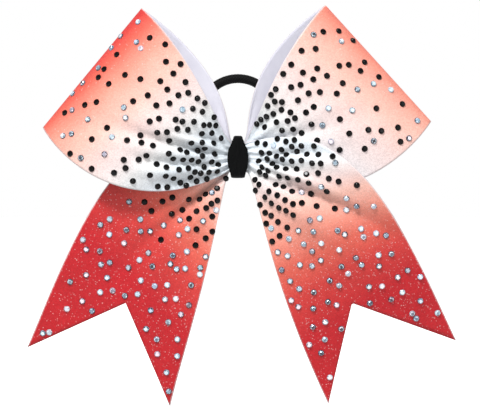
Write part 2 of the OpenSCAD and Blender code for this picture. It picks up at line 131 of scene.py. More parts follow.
# Each panel is one pass of ribbon from the knot outwards. A crease is (angle
# above the horizontal, width, depth, length) and runs straight out from the
# knot; a negative depth is a ridge. A fold is sharper, and is only in the looks:
# (w at the knot, slope of w against u, width, depth, length).
LOOP_BACK_CREASES = [(-10, 7, -1, 40), (15, 7, -0.9, 40), (40, 9, -0.9, 40), (65, 9, -0.7, 35)]
BACK_FOLDS = [(0.3, 0.3, 1.6, -0.8, 28), (0.6, 0.1, 1.6, -0.8, 30), (0.82, -0.05, 1.8, 0.6, 28)]
PANELS = {
    "left_loop_front": {
        "upper": [start(-1, FRONT_LAYER, -1, GATHER), (-11, -17, 14), (-17, -48, 46),
                  *turn(LEFT_TIP, 10)],
        "lower": [start(-1, FRONT_LAYER, -1, -GATHER), (-26, -19, -20), (-70, -44, -32),
                  *turn(LEFT_CORNER, 10)],
        "puff": 3,
        "creases": [(12, 4, 2.4, 50), (-4, 4, 1.3, 42), (-21, 5, 1.6, 45), (30, 5, 1.3, 38),
                    (52, 8, 1, 40)],
        "folds": [(0.38, 0.40, 1.6, 3.2, 40), (0.57, 0.37, 1.4, 2.4, 36), (0.88, 0.03, 1.6, 2.6, 30),
                  (0.08, 0.90, 1.3, 2.0, 26), (0.48, 0.38, 2.4, -1.8, 36), (0.74, 0.20, 3.0, -2.4, 34),
                  (0.24, 0.66, 2.4, -1.6, 30)],
    },
    "left_loop_back": {
        "upper": [start(-1, BACK_LAYER, 1, GATHER), (-6, -12, 20), (-3, 2, 46),
                  *turn(LEFT_TIP, -10)],
        "lower": [start(-1, BACK_LAYER, 1, -GATHER), (-26, -9.5, -14), (-60, 4, -22),
                  *turn(LEFT_CORNER, -10)],
        "puff": -2,
        "creases": LOOP_BACK_CREASES,
        "folds": BACK_FOLDS,
    },
    "right_loop_front": {
        "upper": [start(1, MIDDLE_LAYER, -1, GATHER), (12, -13.5, 20), (15, -42, 46),
                  *turn(RIGHT_TIP, 10)],
        "lower": [start(1, MIDDLE_LAYER, -1, -GATHER), (24, -13, -17), (64, -26, -32),
                  *turn(RIGHT_CORNER, 10)],
        "puff": 2,
        "creases": [(21, 5, 1.3, 40), (35, 6, 1.2, 42), (49, 6, 1.1, 40), (60, 5, 0.8, 40)],
        "folds": [(0.20, 0.72, 1.5, 2.4, 30), (0.10, 0.62, 2.4, -1.6, 28), (0.0, 0.62, 1.5, 1.4, 26),
                  (0.38, 0.60, 2.4, -1.4, 30), (0.55, 0.40, 1.6, 1.6, 30)],
    },
    "right_loop_back": {
        "upper": [start(1, BACK_LAYER, 1, GATHER), (7, -12, 20), (-1, 2, 50),
                  *turn(RIGHT_TIP, -10)],
        "lower": [start(1, BACK_LAYER, 1, -GATHER), (24, -12, -14), (60, 6, -22),
                  *turn(RIGHT_CORNER, -10)],
        "puff": -2,
        "creases": LOOP_BACK_CREASES,
        "folds": BACK_FOLDS,
    },
    "left_tail": {
        "upper": [start(-1, MIDDLE_LAYER, -1, GATHER), (-22, -13, 13), (-58, -22, 24),
                  (-80, -15, -38), (-104.2, -6, -94.1)],
        "lower": [start(-1, MIDDLE_LAYER, -1, -GATHER), (-8, -12, -8), (-9, -24, -45),
                  (-25, -13, -88), (-33.6, -6, -123.2)],
        "puff": 0,
        "creases": [(-46, 6, 2.2, 65), (-66, 8, 0.8, 60), (-28, 7, 0.8, 50)],
        "folds": [(1.0, -0.88, 1.8, 3.2, 50), (1.14, -0.88, 3.0, -1.2, 46), (0.86, -0.5, 3.0, -1.0, 60)],
        "notch": 0.5,
    },
    "right_tail": {
        "upper": [start(1, FRONT_LAYER, -1, GATHER), (23, -20, 13), (57, -62, 16),
                  (78, -24, -29), (107.7, -8, -90.6)],
        "lower": [start(1, FRONT_LAYER, -1, -GATHER), (9, -15.4, -8), (11, -30, -44),
                  (28, -13, -87), (44.6, -8, -121.8)],
        "puff": 0,
        "creases": [(-26, 4.5, 3.2, 70), (5, 4, 1.6, 38), (-11, 3.5, 1.2, 34), (-40, 8, -1.2, 70),
                    (-60, 8, 1, 60)],
        "folds": [(1.02, -1.30, 1.7, 3.6, 56), (0.61, -1.37, 1.3, 2.4, 34), (0.65, -0.85, 1.4, 2.0, 34),
                  (0.84, -1.05, 2.8, -2.4, 48), (0.52, -0.9, 2.0, -1.4, 28), (1.14, -1.1, 2.8, -1.2, 50)],
        "notch": 0.55,
    },
}


def grooves(creases, x, z):
    """Depth of a list of creases at points of the front view."""
    r = np.hypot(x, z)
    angle = np.degrees(np.arctan2(z, np.abs(x)))
    depth = sum(c[2] * bell((angle - c[0]) / c[1]) * bell(r / (1.3 * c[3])) for c in creases)
    return (1 - bell(r / 13)) * depth


def accordion(w, x):
    """Pleats of the gathered ribbon, which fade away once it leaves the wrap."""
    return PLEAT_AMP * np.sin(2 * math.pi * PLEATS * w) * bell(np.maximum(0, np.abs(x) - WING_START) / 5)


def panel_points(panel, u, w, fine=True):
    """Points of a panel's printed surface. u runs from the knot outwards, w from the upper edge down."""
    upper, lower = bezier(panel["upper"], u), bezier(panel["lower"], u)
    points = upper + w[..., None] * (lower - upper)
    x, z = points[..., 0], points[..., 2]
    swell = panel["puff"] * 16 * u * (1 - u) * w * (1 - w)
    depth = grooves(panel["creases"], x, z) - swell + accordion(w, x)
    if fine:
        depth = depth + sum(fold * profile for fold, profile in fold_profiles(panel, u, w))
        depth = depth + rumple(x, z) * np.clip(u * 6, 0, 1) * (1 - u)
    points[..., 1] += depth
    return points


def fold_profiles(panel, u, w):
    """Depth and profile of each pinched fold that spreads from the knot.
    The profile is nearly 1 along the fold's line and 0 away from it."""
    upper, lower = bezier(panel["upper"], u), bezier(panel["lower"], u)
    height = np.linalg.norm(lower - upper, axis=-1)
    middle = upper + w[..., None] * (lower - upper)
    r = np.hypot(middle[..., 0], middle[..., 2])
    for at_knot, slope, width, depth, length in panel["folds"]:
        away = (w - at_knot - slope * u) * height / (width * (0.5 + r / 40))
        profile = np.exp(-np.sqrt(away ** 2 + 0.05)) if depth > 0 else bell(away)
        yield depth, (1 - bell(r / 12)) * profile * bell(r / (1.25 * length))


def pinch(panel, u, w):
    """How deep the cloth sits in a pinched fold, from 0 to 1; it sets how much shade is painted on the ribbon
    there.
    """
    return np.max([profile ** 2 for depth, profile in fold_profiles(panel, u, w) if depth > 0], axis=0)


RUMPLE_DEPTH = 0.5
RUMPLE_SIZE = 17
RUMPLE_LAYER = 3.7       # which slice of the noise is used


def rumple(x, z):
    """Soft unevenness of handled ribbon, in millimetres."""
    flat_x, flat_z = x.ravel() / RUMPLE_SIZE, z.ravel() / RUMPLE_SIZE
    values = [noise.noise(Vector((a, b, RUMPLE_LAYER))) for a, b in zip(flat_x, flat_z)]
    return RUMPLE_DEPTH * np.array(values).reshape(x.shape)


def cut_shares(panel, w):
    """Value of u where each strip of a tail meets the straight cut from a tip to the notch."""
    notch = panel_points(panel, np.array([1 - NOTCH_DEPTH]), np.array([panel["notch"]]), fine=False)[0]
    upper_side = w < panel["notch"]
    tip = np.where(upper_side[:, None], np.array(panel["upper"][-1]), np.array(panel["lower"][-1]))
    cut = notch - tip
    sign = np.sign(tip[:, 0]) * np.where(upper_side, 1, -1)
    low, high = np.full(len(w), 0.5), np.ones(len(w))
    for _ in range(24):
        middle = (low + high) / 2
        off = panel_points(panel, middle, w, fine=False) - tip
        past = sign * (cut[:, 0] * off[:, 2] - cut[:, 2] * off[:, 0]) > 0
        high, low = np.where(past, middle, high), np.where(past, low, middle)
    return (low + high) / 2


ROWS = 60      # steps along one panel
ACROSS = 72    # steps across the ribbon


def loop_grid(front, back):
    """Grid of a loop, from the knot along the front, round the fold and back to the knot."""
    s, w = np.meshgrid(np.linspace(0, 2, 2 * ROWS + 1), np.linspace(0, 1, ACROSS + 1), indexing="ij")
    u = np.minimum(s, 2 - s)
    on_front = s <= 1
    points = np.where(on_front[..., None], panel_points(front, u, w), panel_points(back, u, w))
    return points, u, w, np.where(on_front, pinch(front, u, w), pinch(back, u, w))


def tail_grid(panel):
    """Grid of a tail, whose rows end along the swallow cut."""
    across = np.linspace(0, 1, ACROSS + 1)
    ends = cut_shares(panel, across)
    s, w = np.meshgrid(np.linspace(0, 1, int(1.4 * ROWS) + 1), across, indexing="ij")
    u = s * ends[None, :]
    return panel_points(panel, u, w), u, w, pinch(panel, u, w)


def normals_of(grid, side):
    """Outward normals of a grid of points. side is -1 on the left of the bow."""
    along = np.gradient(grid, axis=0)
    sideways = np.gradient(grid, axis=1)
    n = -side * np.cross(along, sideways)
    return n / np.linalg.norm(n, axis=-1, keepdims=True)


# ------------------------------------------------------------------ print

def ombre(u, w, fade):
    """Place on the print's colour ramp, 0 at the white middle and 1 at the red ends.
    fade is ((begins, ends) at the upper edge, (begins, ends) at the lower edge, value at the end)."""
    (upper_from, upper_to), (lower_from, lower_to), most = fade
    begins = upper_from + w * (lower_from - upper_from)
    ends = upper_to + w * (lower_to - upper_to)
    return most * np.clip((u - begins) / (ends - begins), 0, 1)


LEFT_LOOP_FADE = ((0.18, 0.93), (0.34, 1.08), 0.88)
RIGHT_LOOP_FADE = ((0.1, 1.0), (0.34, 1.1), 0.7)
LEFT_TAIL_FADE = ((-0.1, 0.72), (-0.05, 0.76), 1.0)
RIGHT_TAIL_FADE = ((0.42, 0.84), (0.02, 0.8), 1.0)

# Colours of the print along the ramp, as sRGB
PRINT = [
    (0.00, (0.925, 0.955, 0.980)),
    (0.12, (0.945, 0.945, 0.945)),
    (0.28, (0.960, 0.865, 0.850)),
    (0.42, (0.970, 0.760, 0.700)),
    (0.57, (0.945, 0.595, 0.520)),
    (0.70, (0.895, 0.410, 0.345)),
    (0.83, (0.835, 0.250, 0.235)),
    (1.00, (0.770, 0.120, 0.155)),
]
# Painted shade: the colour the print is multiplied towards at the bottom of a pinched fold
PINCH_SHADE = (0.14, 0.14, 0.17)


# ------------------------------------------------------------------ materials

def linear(srgb):
    """Linear RGBA of an sRGB colour."""
    return tuple(c / 12.92 if c <= 0.04045 else ((c + 0.055) / 1.055) ** 2.4 for c in srgb) + (1.0,)


class Shader:
    """A material being built: short calls to add nodes and join them."""

    def __init__(self, name, roughness, specular=0.5, metallic=0.0, sheen=0.0, sheen_roughness=0.5, coat=0.0):
        self.material = bpy.data.materials.new(name)
        self.material.use_nodes = True
        self.tree = self.material.node_tree
        self.bsdf = next(n for n in self.tree.nodes if n.type == "BSDF_PRINCIPLED")
        self.set("Roughness", roughness)
        self.set("Specular IOR Level", specular)
        self.set("Metallic", metallic)
        self.set("Sheen Weight", sheen)
        self.set("Sheen Roughness", sheen_roughness)
        self.set("Coat Weight", coat)

    def set(self, socket, value):
        """Give one of the surface shader's own sockets a fixed value."""
        self.bsdf.inputs[socket].default_value = value

    def node(self, kind, inputs=(), **settings):
        """A new node. inputs is a list of (socket, value or output socket)."""
        made = self.tree.nodes.new(kind)
        for key, value in settings.items():
            setattr(made, key, value)
        for socket, value in inputs:
            if isinstance(value, bpy.types.NodeSocket):
                self.tree.links.new(value, made.inputs[socket])
            else:
                made.inputs[socket].default_value = value
        return made

    def join(self, output, socket):
        """Drive one of the surface shader's sockets from a node."""
        self.tree.links.new(output, self.bsdf.inputs[socket])

    def place(self):
        """Place on the object, in metres."""
        return self.node("ShaderNodeTexCoord").outputs["Object"]

    def attribute(self, name):
        """A number kept on the mesh; 0 where the mesh has none of that name."""
        return self.node("ShaderNodeAttribute", attribute_name=name).outputs["Fac"]

    def cells(self, size_mm):
        """Random colour of each flake or grain of that size."""
        return self.node("ShaderNodeTexVoronoi", [("Vector", self.place()), ("Scale", 1 / (size_mm * MM))])

    def cloud(self, size_mm, detail=3):
        """Soft noise with features of about that size."""
        return self.node("ShaderNodeTexNoise", [
            ("Vector", self.place()), ("Scale", 1 / (size_mm * MM)), ("Detail", detail)]).outputs["Fac"]

    def spread(self, value, low, high, from_low=0.0, from_high=1.0):
        """value, moved from one range to another."""
        return self.node("ShaderNodeMapRange", [
            ("Value", value), ("From Min", from_low), ("From Max", from_high),
            ("To Min", low), ("To Max", high)]).outputs["Result"]

    def math(self, operation, a, b=0.0):
        """Result of a Math node."""
        return self.node("ShaderNodeMath", [(0, a), (1, b)], operation=operation).outputs[0]

    def mix(self, share, a, b, blend="MIX"):
        """Colour a, with share of colour b blended in. The sockets of a colour Mix are 0, 6 and 7."""
        made = self.node("ShaderNodeMix", [(0, share), (6, a), (7, b)], data_type="RGBA", blend_type=blend)
        return made.outputs[2]

    def ramp(self, value, stops):
        """Colour for a value, from (position, sRGB colour) stops."""
        made = self.node("ShaderNodeValToRGB", [("Fac", value)])
        elements = made.color_ramp.elements
        while len(elements) < len(stops):
            elements.new(0.5)
        for element, (position, colour) in zip(elements, stops):
            element.position = position
            element.color = linear(colour)
        return made.outputs["Color"]

    def bump(self, height, depth_mm, strength=1.0):
        """Raise the surface's normals by a height from 0 to 1."""
        made = self.node("ShaderNodeBump", [
            ("Height", height), ("Distance", depth_mm * MM), ("Strength", strength)])
        self.join(made.outputs["Normal"], "Normal")


def split(shader, colour):
    """The three channels of a colour output."""
    return shader.node("ShaderNodeSeparateColor", [("Color", colour)]).outputs


def glitter_ribbon(name, flake_mm, glint_share):
    """Printed fabric with fine glitter: the ombre print, flakes that each catch the light
    their own way, a painted glint of near-white colour on a few of them, and a cut edge where
    the white base shows. Painted shade darkens the print at the bottom of a pinched fold."""
    m = Shader(name, 0.5, specular=0.25)
    flakes = m.cells(flake_mm)
    red, green, blue = split(m, flakes.outputs["Color"])
    colour = m.ramp(m.attribute("ombre"), PRINT)
    shade = m.math("MULTIPLY", m.spread(red, 0.88, 1.1), m.spread(m.cloud(14), 0.95, 1.04, 0.3, 0.7))
    tone = m.node("ShaderNodeCombineColor", [("Red", shade), ("Green", shade), ("Blue", shade)]).outputs[0]
    colour = m.mix(1.0, colour, tone, "MULTIPLY")
    # Painted glint: a few flakes are given a near-white colour for the light they would reflect
    painted_glint = m.math("MULTIPLY", m.math("GREATER_THAN", green, 1 - glint_share), m.spread(blue, 0.05, 0.4))
    colour = m.mix(painted_glint, colour, linear((1.0, 0.93, 0.92)))
    frayed = m.math("ADD", m.attribute("edge"), m.spread(m.cloud(1.1), -0.35, 0.35))
    colour = m.mix(m.spread(frayed, 0.65, 0.0, 0.15, 0.75), colour, linear((0.93, 0.88, 0.88)))
    # Painted shade in pinched folds, by the pinch attribute
    colour = m.mix(m.attribute("pinch"), colour, linear(PINCH_SHADE), "MULTIPLY")
    m.join(colour, "Base Color")
    m.join(m.spread(blue, 0.3, 0.7), "Roughness")
    m.bump(red, 0.09, 0.6)
    return m.material


def woven_lining(name):
    """White polyester ribbon with fine cross ribs and a faint lavender cast."""
    m = Shader(name, 0.55, specular=0.35, sheen=0.25, sheen_roughness=0.35)
    rib = m.math("SINE", m.math("MULTIPLY", m.attribute("along"), 2 * math.pi / (0.62 * MM)))
    yarn = m.math("SINE", m.math("MULTIPLY", m.attribute("across"), 2 * math.pi / (0.3 * MM)))
    weave = m.math("ADD", m.spread(rib, 0.0, 1.0, -1.0, 1.0), m.math("MULTIPLY", yarn, 0.18))
    # Painted shade: the rib troughs are up to a fifth darker; the soft blotches are random tone
    tone = m.math("MULTIPLY", m.spread(m.cloud(11), 0.6, 1.0, 0.3, 0.7), m.spread(weave, 0.8, 1.0))
    m.join(m.ramp(tone, [(0.3, (0.81, 0.803, 0.855)), (1.0, (0.89, 0.885, 0.92))]), "Base Color")
    m.join(m.spread(weave, 0.62, 0.45), "Roughness")
    m.bump(weave, 0.07, 0.7)
    return m.material


def black_knit(name):
    """Matt black stretch knit: fine columns of stitches, with painted shade darkening the gaps between them.
    """
    m = Shader(name, 0.75, specular=0.08)
    column = m.math("SINE", m.math("MULTIPLY", m.attribute("across"), 2 * math.pi / (0.55 * MM)))
    course = m.math("SINE", m.math("MULTIPLY", m.attribute("along"), 2 * math.pi / (0.42 * MM)))
    stitch = m.math("MULTIPLY", m.spread(column, 0.2, 1.0, -1.0, 1.0), m.spread(course, 0.4, 1.0, -1.0, 1.0))
    tone = m.math("MULTIPLY", stitch, m.spread(m.cloud(2.5), 0.6, 1.0, 0.3, 0.7))
    # Painted shade: the colour is darker where the stitches dip; the soft noise is random tone
    m.join(m.ramp(tone, [(0.0, (0.006, 0.007, 0.008)), (1.0, (0.062, 0.066, 0.07))]), "Base Color")
    m.join(m.spread(stitch, 0.9, 0.6), "Roughness")
    m.bump(stitch, 0.12, 0.8)
    return m.material


def braided_elastic(name):
    """Black textile braid with dull highlights on its strands, partly from their lower roughness and partly
    painted into the colour, and painted shade in the gaps between them.
    """
    m = Shader(name, 0.6, specular=0.1)
    strand = m.attribute("strand")
    fibre = m.cloud(0.35, 2)
    tone = m.math("MULTIPLY", strand, m.spread(fibre, 0.6, 1.0, 0.3, 0.7))
    # Painted highlight and shade: the colour is lighter on the strands and darker in the gaps
    m.join(m.ramp(tone, [(0.0, (0.006, 0.006, 0.007)), (1.0, (0.075, 0.075, 0.08))]), "Base Color")
    m.join(m.spread(strand, 0.9, 0.5), "Roughness")
    m.bump(fibre, 0.05, 0.6)
    return m.material


def waxed_thread(name):
    """Off-white waxed thread whose plies twist round each other."""
    m = Shader(name, 0.45, specular=0.5, sheen=0.1)
    fibre = m.cloud(0.3, 2)
    m.join(m.ramp(fibre, [(0.25, (0.72, 0.70, 0.65)), (0.75, (0.90, 0.89, 0.85))]), "Base Color")
    m.join(m.spread(fibre, 0.38, 0.6), "Roughness")
    m.bump(fibre, 0.04, 0.7)
    return m.material


def hot_glue(name):
    """Cloudy glue with trapped haze and a smooth, slightly waxy surface."""
    m = Shader(name, 0.3, specular=0.5)
    haze = m.cloud(1.6)
    m.join(m.ramp(haze, [(0.3, (0.79, 0.75, 0.62)), (0.7, (0.91, 0.89, 0.80))]), "Base Color")
    m.join(m.spread(haze, 0.22, 0.42), "Roughness")
    m.bump(haze, 0.1, 0.5)
    return m.material


def crystal(name):
    """Foil-backed crystal with painted reflections: every facet is given its own bright or dark colour
    in place of the light it would reflect, each stone a painted glow, and each its own tint."""
    m = Shader(name, 0.1, specular=0.5, metallic=0.2, coat=0.1)
    facet = m.attribute("facet")
    painted_glow = m.attribute("painted_glow")
    # Painted reflection and painted glow make up the facets' colour
    tone = m.math("ADD", facet, m.math("MULTIPLY", painted_glow, 0.5))
    painted_reflection = m.ramp(tone, [
        (0.00, (0.10, 0.11, 0.13)), (0.20, (0.28, 0.30, 0.34)), (0.40, (0.52, 0.57, 0.62)),
        (0.60, (0.72, 0.80, 0.84)), (0.80, (0.95, 0.97, 0.98)), (1.00, (1.0, 1.0, 1.0))])
    tint = m.ramp(m.attribute("tint"), [
        (0.0, (1.0, 0.90, 0.94)), (0.3, (0.98, 0.98, 1.0)),
        (0.7, (0.90, 0.97, 1.0)), (1.0, (0.88, 0.93, 1.0))])
    m.join(m.mix(1.0, painted_reflection, tint, "MULTIPLY"), "Base Color")
    m.join(m.spread(facet, 0.22, 0.06), "Roughness")
    m.bump(m.cloud(0.7), 0.02, 0.3)
    return m.material


def jet(name):
    """Black glass stone with polished facets, each painted a slightly different dark colour and a few a
    lighter grey, as painted reflections and glints.
    """
    m = Shader(name, 0.25, specular=0.12)
    facet = m.attribute("facet")
    # Painted reflection: facet colour varies, and the top tenth of facets get a painted glint
    glass = m.ramp(facet, [
        (0.0, (0.01, 0.01, 0.011)), (0.9, (0.035, 0.035, 0.04)), (1.0, (0.16, 0.17, 0.18))])
    m.join(glass, "Base Color")
    m.join(m.spread(facet, 0.32, 0.1), "Roughness")
    m.bump(m.cloud(0.7), 0.02, 0.3)
    return m.material


MATERIALS = {
    "ribbon_pale_ombre": glitter_ribbon("ribbon_pale_ombre", 0.5, 0.012),
    "ribbon_red_ombre": glitter_ribbon("ribbon_red_ombre", 0.45, 0.04),
    "ribbon_pale": glitter_ribbon("ribbon_pale", 0.5, 0.012),
    "ribbon_lining": woven_lining("ribbon_lining"),
    "wrap_black": black_knit("wrap_black"),
    "elastic_black": braided_elastic("elastic_black"),
    "waxed_thread": waxed_thread("waxed_thread"),
    "hot_glue": hot_glue("hot_glue"),
    "stone_crystal": crystal("stone_crystal"),
    "stone_black": jet("stone_black"),
}


# ------------------------------------------------------------------ meshes

def add_piece(name, vertices, faces, slot, body, replaced, attributes, smooth=True, domain="POINT"):
    """A mesh piece from points in millimetres, with its material, body and the CAD nodes it stands for."""
    mesh = bpy.data.meshes.new(name)
    mesh.from_pydata([tuple(v) for v in np.asarray(vertices) * MM], [], faces)
    for key, values in attributes.items():
        layer = mesh.attributes.new(key, "FLOAT", domain)
        layer.data.foreach_set("value", np.asarray(values, np.float32).ravel())
    mesh.polygons.foreach_set("use_smooth", [smooth] * len(mesh.polygons))
    mesh.materials.append(MATERIALS[slot])
    mesh.update()
    piece = bpy.data.objects.new(name, mesh)
    bpy.context.scene.collection.objects.link(piece)
    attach(piece, body)
    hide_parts(*replaced)
    return piece


def closed_sheet(outer, inner, flip):
    """Vertices and faces of a closed sheet between two grids of the same size."""
    rows, cols = outer.shape[:2]
    number = np.arange(rows * cols).reshape(rows, cols)
    a, b = number[:-1, :-1].ravel(), number[:-1, 1:].ravel()
    c, d = number[1:, 1:].ravel(), number[1:, :-1].ravel()
    top = np.stack([a, b, c, d], 1)
    bottom = top[:, ::-1] + rows * cols
    rim = np.concatenate([number[0, :], number[1:, -1], number[-1, -2::-1], number[-2:0:-1, 0]])
    following = np.roll(rim, -1)
    walls = np.stack([following, rim, rim + rows * cols, following + rows * cols], 1)
    faces = np.concatenate([top, bottom, walls])
    if flip:
        faces = faces[:, ::-1]
    return np.concatenate([outer.reshape(-1, 3), inner.reshape(-1, 3)]), faces.tolist()


def lengths_along(grid):
    """Running length from the first row, in metres, at every point of a grid."""
    steps = np.linalg.norm(np.diff(grid, axis=0), axis=-1).mean(axis=1)
    running = np.concatenate([[0], np.cumsum(steps)]) * MM
    return np.repeat(running[:, None], grid.shape[1], axis=1)


RIBBON_W = 76.2
LAYER_GAP = 0.03     # keeps the back of the print off the front of the lining


def cloth_attributes(grid, w, printed):
    """Attributes that the ribbon's materials read, for both sides of a closed sheet."""
    edge = np.minimum(w, 1 - w) * RIBBON_W
    given = {"along": lengths_along(grid), "across": w * RIBBON_W * MM, "edge": edge, **printed}
    return {key: np.concatenate([values.ravel(), values.ravel()]) for key, values in given.items()}


def make_wing(name, grid, w, side, printed, face_slot):
    """The printed face and the lining of one loop or tail. Returns both and the printed surface's normals."""
    normals = normals_of(grid, side)
    flip = side > 0
    shades = cloth_attributes(grid, w, printed)
    face_mesh = closed_sheet(grid, grid - (FACE_T - LAYER_GAP) * normals, flip)
    face = add_piece(name + "_glitter", *face_mesh, face_slot, name, [name + "_face"], attributes=shades)
    lining_mesh = closed_sheet(grid - FACE_T * normals, grid - (FACE_T + LINING_T) * normals, flip)
    lining = add_piece(name + "_inside", *lining_mesh, "ribbon_lining", name, [name + "_lining"],
                       attributes=cloth_attributes(grid, w, {}))
    return face, lining, normals


# ------------------------------------------------------------------ rhinestones

SIDES = 12
LOW_FACET_SHADE = 0.45    # painted shade: facets low on a stone are given a darker colour than those above, and are rougher
# Rings of one stone from the glued base up: (radius, height, turned half a step)
RINGS = [(0.47, -0.04, 0), (0.5, 0.2, 0), (0.4, 0.62, 1), (0.25, 0.96, 0)]


def stone_template():
    """Points of a stone of diameter and height 1, and its facets."""
    points, faces = [], []
    for radius, height, half in RINGS:
        for k in range(SIDES):
            angle = 2 * math.pi * (k + 0.5 * half) / SIDES
            points.append((radius * math.cos(angle), radius * math.sin(angle), height))
    for ring in range(len(RINGS) - 1):
        low, high = ring * SIDES, (ring + 1) * SIDES
        turned = RINGS[ring + 1][2] - RINGS[ring][2]
        for k in range(SIDES):
            nxt = (k + 1) % SIDES
            if turned == 0:
                faces.append((low + k, low + nxt, high + nxt, high + k))
            elif turned > 0:
                faces.append((low + k, low + nxt, high + k))
                faces.append((low + nxt, high + nxt, high + k))
            else:
                faces.append((low + k, high + nxt, high + k))
                faces.append((low + k, low + nxt, high + nxt))
    top = (len(RINGS) - 1) * SIDES
    faces.append(tuple(top + k for k in range(SIDES)))
    faces.append(tuple(reversed(range(SIDES))))
    return np.array(points), faces


def stone_centres(node):
    """Middle of each separate solid of a CAD node of stones, in millimetres."""
    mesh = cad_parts[node].data
    places = np.empty(len(mesh.vertices) * 3, np.float32)
    mesh.vertices.foreach_get("co", places)
    places = places.reshape(-1, 3) / MM
    distinct, number = np.unique(np.round(places, 3), axis=0, return_inverse=True)
    number = number.ravel()
    leader = list(range(len(distinct)))

    def find(i):
        while leader[i] != i:
            leader[i] = leader[leader[i]]
            i = leader[i]
        return i

    for polygon in mesh.polygons:
        first = find(number[polygon.vertices[0]])
        for vertex in polygon.vertices[1:]:
            leader[find(number[vertex])] = first
    groups = {}
    for i in range(len(distinct)):
        groups.setdefault(find(i), []).append(distinct[i])
    return [np.mean(group, axis=0) for _, group in sorted(groups.items())]


def add_stones(name, node, body, slot, surface, normals):
    """Faceted stones at the CAD stones' places, set down on the finer cloth."""
    points = surface.reshape(-1, 3)
    directions = normals.reshape(-1, 3)
    tree = KDTree(len(points))
    for i, point in enumerate(points):
        tree.insert(Vector(point), i)
    tree.balance()
    template, facets = stone_template()
    # Low facets get painted shade
    facet_shades = [LOW_FACET_SHADE if template[list(face), 2].mean() < 0.5 else 1.0 for face in facets]
    scale = np.array([STONE_D, STONE_D, STONE_H])
    vertices, faces, facet, painted_glow, tint = [], [], [], [], []
    for centre in stone_centres(node):
        near = [i for _, i, _ in tree.find_n(Vector(centre), 6)]
        normal = directions[near].mean(axis=0)
        normal /= np.linalg.norm(normal)
        foot = centre - normal * np.dot(centre - points[near].mean(axis=0), normal)
        spin = rng.uniform(0, 2 * math.pi)
        turned = Vector((0, 0, 1)).rotation_difference(Vector(normal)).to_matrix()
        around = np.array([
            [math.cos(spin), -math.sin(spin), 0],
            [math.sin(spin), math.cos(spin), 0],
            [0, 0, 1]])
        base = len(vertices) * len(template)
        vertices.append((template * scale) @ (np.array(turned) @ around).T + foot)
        faces += [tuple(base + k for k in face) for face in facets]
        # Painted light: each stone gets a random painted glow, and each facet a random painted reflection
        stone_painted_glow, stone_tint = rng.random() ** 3, rng.random()
        facet += [rng.random() * facet_shade for facet_shade in facet_shades]
        painted_glow += [stone_painted_glow] * len(facets)
        tint += [stone_tint] * len(facets)
    return add_piece(name, np.concatenate(vertices), faces, slot, body, [node], smooth=False,
                     attributes={"facet": facet, "painted_glow": painted_glow, "tint": tint}, domain="FACE")


# ------------------------------------------------------------------ wings

WINGS = {
    "left_loop": (-1, LEFT_LOOP_FADE, "ribbon_pale_ombre"),
    "right_loop": (1, RIGHT_LOOP_FADE, "ribbon_pale_ombre"),
    "left_tail": (-1, LEFT_TAIL_FADE, "ribbon_red_ombre"),
    "right_tail": (1, RIGHT_TAIL_FADE, "ribbon_red_ombre"),
}

for wing, (side, fade, face_slot) in WINGS.items():
    if wing.endswith("loop"):
        grid, u, w, pinched = loop_grid(PANELS[wing + "_front"], PANELS[wing + "_back"])
        shown = grid[:ROWS + 1]
    else:
        grid, u, w, pinched = tail_grid(PANELS[wing])
        shown = grid
    printed = {"ombre": ombre(u, w, fade), "pinch": pinched}
    face, lining, normals = make_wing(wing, grid, w, side, printed, face_slot)
    stones = [
        add_stones(f"{wing}_{kind}_rhinestones", f"{wing}_{kind}_stones", wing, "stone_" + kind,
                   shown, normals[:len(shown)])
        for kind in ("black", "crystal")
    ]


# ------------------------------------------------------------------ knot

def smooth_curve(stops, values, at):
    """Smooth curve through (stop, value) pairs, as cubic Hermite pieces."""
    slopes = np.gradient(values, stops)
    k = np.clip(np.searchsorted(stops, at) - 1, 0, len(stops) - 2)
    gap = np.take(stops, k + 1) - np.take(stops, k)
    t = (at - np.take(stops, k)) / gap
    a, b = np.take(values, k), np.take(values, k + 1)
    m0, m1 = np.take(slopes, k) * gap, np.take(slopes, k + 1) * gap
    first = (2 * t**3 - 3 * t**2 + 1) * a + (t**3 - 2 * t**2 + t) * m0
    return first + (3 * t**2 - 2 * t**3) * b + (t**3 - t**2) * m1


# Half width of the wrap against height, as shares of its width and height
WRAP_SIDE = [
    (-0.50, 0.34), (-0.39, 0.38), (-0.29, 0.44), (-0.14, 0.50), (0.02, 0.50),
    (0.17, 0.46), (0.29, 0.34), (0.39, 0.27), (0.50, 0.21),
]


def wrap_half_width(z):
    """Half width of the wrap at a height."""
    stops = np.array([a for a, _ in WRAP_SIDE]) * WRAP_H
    return smooth_curve(stops, np.array([b for _, b in WRAP_SIDE]) * WRAP_W, z)


CORNER_STEPS = 32


def rounded_loop(front, back, half_height, front_r, back_r, steps):
    """Points (y, z) and outward normals round a rounded rectangle, evenly spaced along it."""
    corners = [
        (back - back_r, half_height - back_r, back_r, 0),
        (front + front_r, half_height - front_r, front_r, 90),
        (front + front_r, front_r - half_height, front_r, 180),
        (back - back_r, back_r - half_height, back_r, 270),
    ]
    rough = []
    for y, z, r, begin in corners:
        for k in range(CORNER_STEPS + 1):
            a = math.radians(begin + 90 * k / CORNER_STEPS)
            rough.append((y + r * math.cos(a), z + r * math.sin(a), math.cos(a), math.sin(a)))
    rough = np.array(rough + rough[:1])
    run = np.concatenate([[0], np.cumsum(np.linalg.norm(np.diff(rough[:, :2], axis=0), axis=1))])
    at = np.linspace(0, run[-1], steps, endpoint=False)
    spread = np.stack([np.interp(at, run, rough[:, c]) for c in range(4)], 1)
    return spread[:, :2], spread[:, 2:], run[-1]


WRAP_STEPS = 168
WRAP_ACROSS = 28
WRAP_FRONT_R = 4.4
WRAP_BACK_R = 4.0
WRAP_EDGE = 0.45     # how far the band's edges thin down on each side


